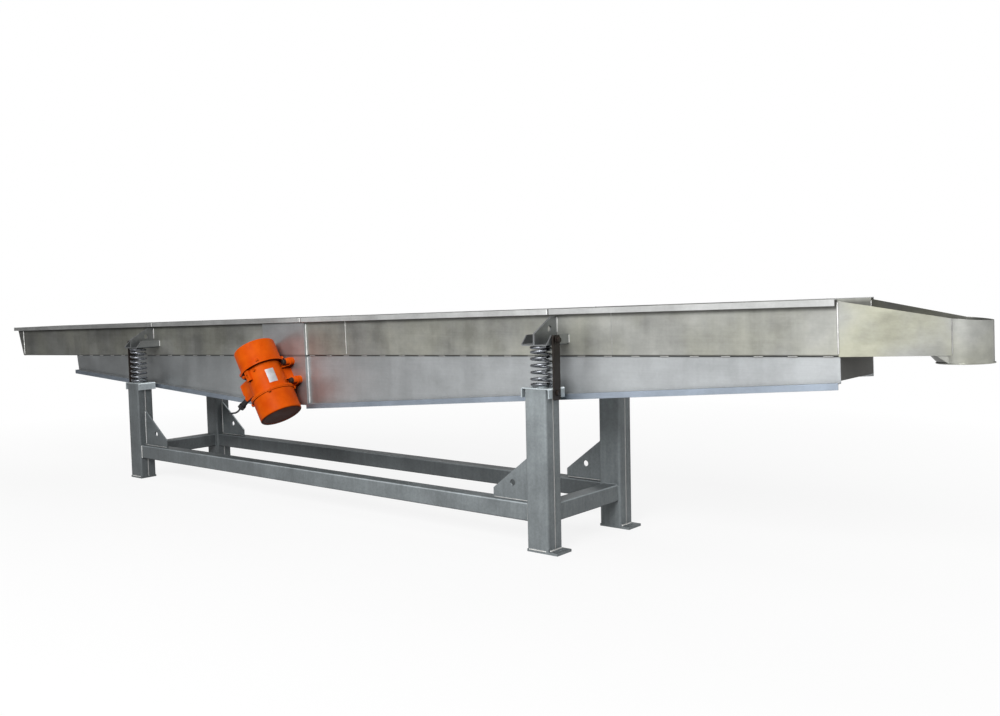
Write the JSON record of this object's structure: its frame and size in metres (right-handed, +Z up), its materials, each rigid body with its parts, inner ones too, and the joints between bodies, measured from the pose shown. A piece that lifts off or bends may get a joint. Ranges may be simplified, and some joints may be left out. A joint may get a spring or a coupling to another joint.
{
  "type": "linear vibratory feeder",
  "caption": "Long open U trough on coil springs over a welded frame, shaken along a slanted line by side-mounted vibration motors, with a tapered end and round spout.",
  "frame": {"origin": "on the floor, at the centre between the four legs", "axes": "+X along the trough from the feed end to the discharge end, +Y from the front side (bare motor lead) to the rear side, +Z up"},
  "size_m": [5.8355, 0.754, 0.9377],
  "materials": {
    "frame_paint": "satin grey-blue, lightly worn",
    "strap_paint": "satin dark brown",
    "fasteners": "zinc plated",
    "spring_steel": "bright",
    "trough_stainless": "brushed, with faint streaks",
    "keel_stainless": "brushed",
    "bracket_stainless": "brushed",
    "motor_paint": "satin orange paint",
    "windings": "varnished",
    "machined_steel": "machined",
    "weight_iron": "bare",
    "gland_plastic": "matte black",
    "lead_rubber": "matte black"
  },
  "bodies": {
    "frame": {"leg_front_feed": "frame_paint", "leg_front_discharge": "frame_paint", "leg_rear_feed": "frame_paint", "leg_rear_discharge": "frame_paint", "long_rail_front": "frame_paint", "long_rail_rear": "frame_paint", "cross_rail_feed": "frame_paint", "cross_rail_discharge": "frame_paint", "spring_seat_front_feed": "frame_paint", "spring_seat_front_discharge": "frame_paint", "spring_seat_rear_feed": "frame_paint", "spring_seat_rear_discharge": "frame_paint", "strap_front_feed": "strap_paint", "strap_front_discharge": "strap_paint", "strap_rear_feed": "strap_paint", "strap_rear_discharge": "strap_paint", "strap_bolts": "fasteners", "spring_front_feed": "spring_steel", "spring_front_discharge": "spring_steel", "spring_rear_feed": "spring_steel", "spring_rear_discharge": "spring_steel"},
    "trough": {"trough_pan": "trough_stainless", "feed_end": "trough_stainless", "discharge_taper": "trough_stainless", "discharge_spout": "trough_stainless", "rim_front": "trough_stainless", "rim_rear": "trough_stainless", "keel_front_feed": "keel_stainless", "keel_front_discharge": "keel_stainless", "keel_rear_feed": "keel_stainless", "keel_rear_discharge": "keel_stainless", "keel_end_feed": "keel_stainless", "keel_end_discharge": "keel_stainless", "cross_beam": "keel_stainless", "motor_plate_front": "keel_stainless", "motor_plate_rear": "keel_stainless", "bracket_front_feed": "bracket_stainless", "bracket_front_discharge": "bracket_stainless", "bracket_rear_feed": "bracket_stainless", "bracket_rear_discharge": "bracket_stainless", "keeper_bolts": "fasteners", "motor_housing_front": "motor_paint", "motor_housing_rear": "motor_paint", "upper_cover_front": "motor_paint", "upper_cover_rear": "motor_paint", "lower_cover_front": "motor_paint", "lower_cover_rear": "motor_paint", "terminal_lid_front": "motor_paint", "terminal_lid_rear": "motor_paint", "stator_front": "windings", "stator_rear": "windings", "rotor_bearings": "machined_steel", "foot_bolts": "fasteners", "cable_glands": "gland_plastic", "motor_lead": "lead_rubber"},
    "rotor_front": {"rotor_front": "machined_steel", "weights_front": "weight_iron"},
    "rotor_rear": {"rotor_rear": "machined_steel", "weights_rear": "weight_iron"}
  },
  "joints": [
    {"name": "trough_stroke", "type": "slide", "parent": "frame", "child": "trough", "axis": [0.853, 0, 0.5219], "range_m": [-0.004, 0.004], "stiffness_N_per_m": 90000, "springref_m": 0.01665, "deforming": ["spring_front_feed", "spring_front_discharge", "spring_rear_feed", "spring_rear_discharge"]},
    {"name": "rotor_front_spin", "type": "hinge", "parent": "trough", "child": "rotor_front", "pos_m": [-0.22705, -0.272, 0.57518], "axis": [-0.5219, 0, 0.853], "continuous": true},
    {"name": "rotor_rear_spin", "type": "hinge", "parent": "trough", "child": "rotor_rear", "pos_m": [-0.24897, 0.272, 0.61101], "axis": [-0.5219, 0, 0.853], "continuous": true}
  ]
}
